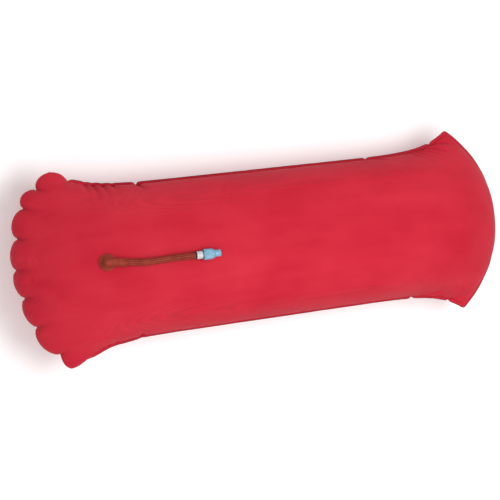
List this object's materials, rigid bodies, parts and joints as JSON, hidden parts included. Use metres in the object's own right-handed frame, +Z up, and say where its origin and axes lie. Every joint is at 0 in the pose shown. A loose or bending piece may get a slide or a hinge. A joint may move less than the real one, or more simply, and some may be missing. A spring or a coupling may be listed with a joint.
{
  "type": "inflatable pillow bag",
  "caption": "Long pillow-shaped air bag of two welded coated-fabric panels, lying inflated, with an elbow flange, a rubber hose and a twist-open mouth valve.",
  "frame": {"origin": "centre of the bag's flattened underside, on the surface that it lies on", "axes": "+X along the bag's length, away from the end with the hose flange; +Z up, from the lower panel to the upper one"},
  "size_m": [0.968, 0.356, 0.2455],
  "materials": {
    "red_nylon": "fine plain weave with a satin coating",
    "brown_rubber": "matte moulded rubber, ribbed along the hose",
    "black_rubber": "matte",
    "white_plastic": "satin moulded",
    "blue_plastic": "translucent satin moulded"
  },
  "bodies": {
    "bag": {"upper_panel": "red_nylon", "lower_panel": "red_nylon", "inner_patch": "red_nylon", "hose_flange": "brown_rubber", "hose": "brown_rubber", "hose_band": "black_rubber", "valve_body": "white_plastic"},
    "seal": {"cap_seal": "black_rubber"},
    "cap": {"valve_cap": "blue_plastic"}
  },
  "joints": [
    {"name": "cap_lift", "type": "slide", "parent": "bag", "child": "seal", "axis": [0.9994, -0.0135, 0.0314], "range_m": [0, 0.003]},
    {"name": "cap_turn", "type": "hinge", "parent": "seal", "child": "cap", "pos_m": [-0.1787, -0.0007, 0.23544], "axis": [0.9994, -0.0135, 0.0314], "range_deg": [0, 360]}
  ],
  "couplings": [
    {"joint": "cap_lift", "follows": "cap_turn", "m_per_rad": 0.000477}
  ]
}
